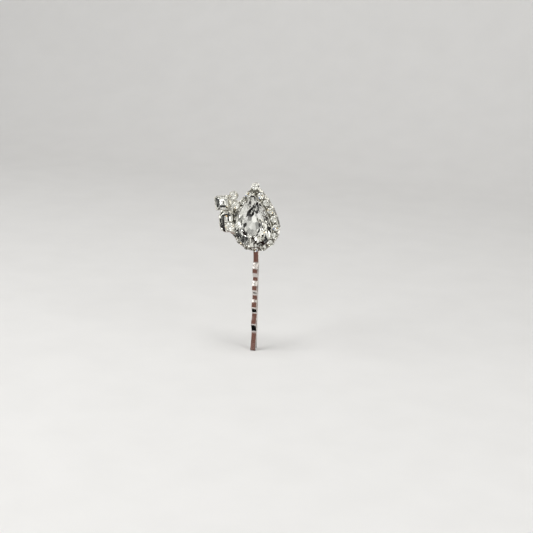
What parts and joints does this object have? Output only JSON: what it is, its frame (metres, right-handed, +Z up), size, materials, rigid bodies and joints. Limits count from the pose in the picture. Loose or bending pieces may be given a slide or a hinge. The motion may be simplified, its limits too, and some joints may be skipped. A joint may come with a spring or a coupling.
{
  "type": "hair clip",
  "caption": "Hair clip: a crimped bobby pin with a pear-shaped crystal in a halo of small round stones, and a raised cluster of square, octagon and round crystals at its side.",
  "frame": {"origin": "in the grip, half way along the waves, where the two legs of the pin meet", "axes": "+Z up the pin to the tip of the pear, the stones face -Y, +X to the right as the stones are seen from the front"},
  "size_m": [0.0227, 0.0103, 0.0612],
  "materials": {
    "pin_steel": "polished nickel-plated spring steel",
    "plated_metal": "polished rhodium-tone plating",
    "crystal": "clear cut glass with a silver foil back"
  },
  "bodies": {
    "head_and_front_leg": {"pin_front_leg": "pin_steel", "pin_bend": "pin_steel", "pin_pad": "plated_metal", "back_plate": "plated_metal", "cluster_bridge": "plated_metal", "halo_frame": "plated_metal", "pear_setting": "plated_metal", "square_setting": "plated_metal", "octagon_setting": "plated_metal", "upper_round_setting": "plated_metal", "middle_round_setting": "plated_metal", "lower_round_setting": "plated_metal", "pear_stone": "crystal", "square_stone": "crystal", "octagon_stone": "crystal", "upper_round_stone": "crystal", "middle_round_stone": "crystal", "lower_round_stone": "crystal", "halo_stone_01": "crystal", "halo_stone_02": "crystal", "halo_stone_03": "crystal", "halo_stone_04": "crystal", "halo_stone_05": "crystal", "halo_stone_06": "crystal", "halo_stone_07": "crystal", "halo_stone_08": "crystal", "halo_stone_09": "crystal", "halo_stone_10": "crystal", "halo_stone_11": "crystal", "halo_stone_12": "crystal", "halo_stone_13": "crystal", "halo_stone_14": "crystal", "halo_stone_15": "crystal", "halo_stone_16": "crystal", "halo_stone_17": "crystal", "halo_stone_18": "crystal"},
    "back_leg": {"pin_back_leg": "pin_steel"}
  },
  "joints": [
    {"name": "leg_spring", "type": "hinge", "parent": "head_and_front_leg", "child": "back_leg", "pos_m": [0, -0.00047, 0.03078], "axis": [1, 0, 0], "range_deg": [0, 18], "stiffness_Nm_per_rad": 0.1, "springref_deg": -5.73, "deforming": ["pin_bend"]}
  ]
}
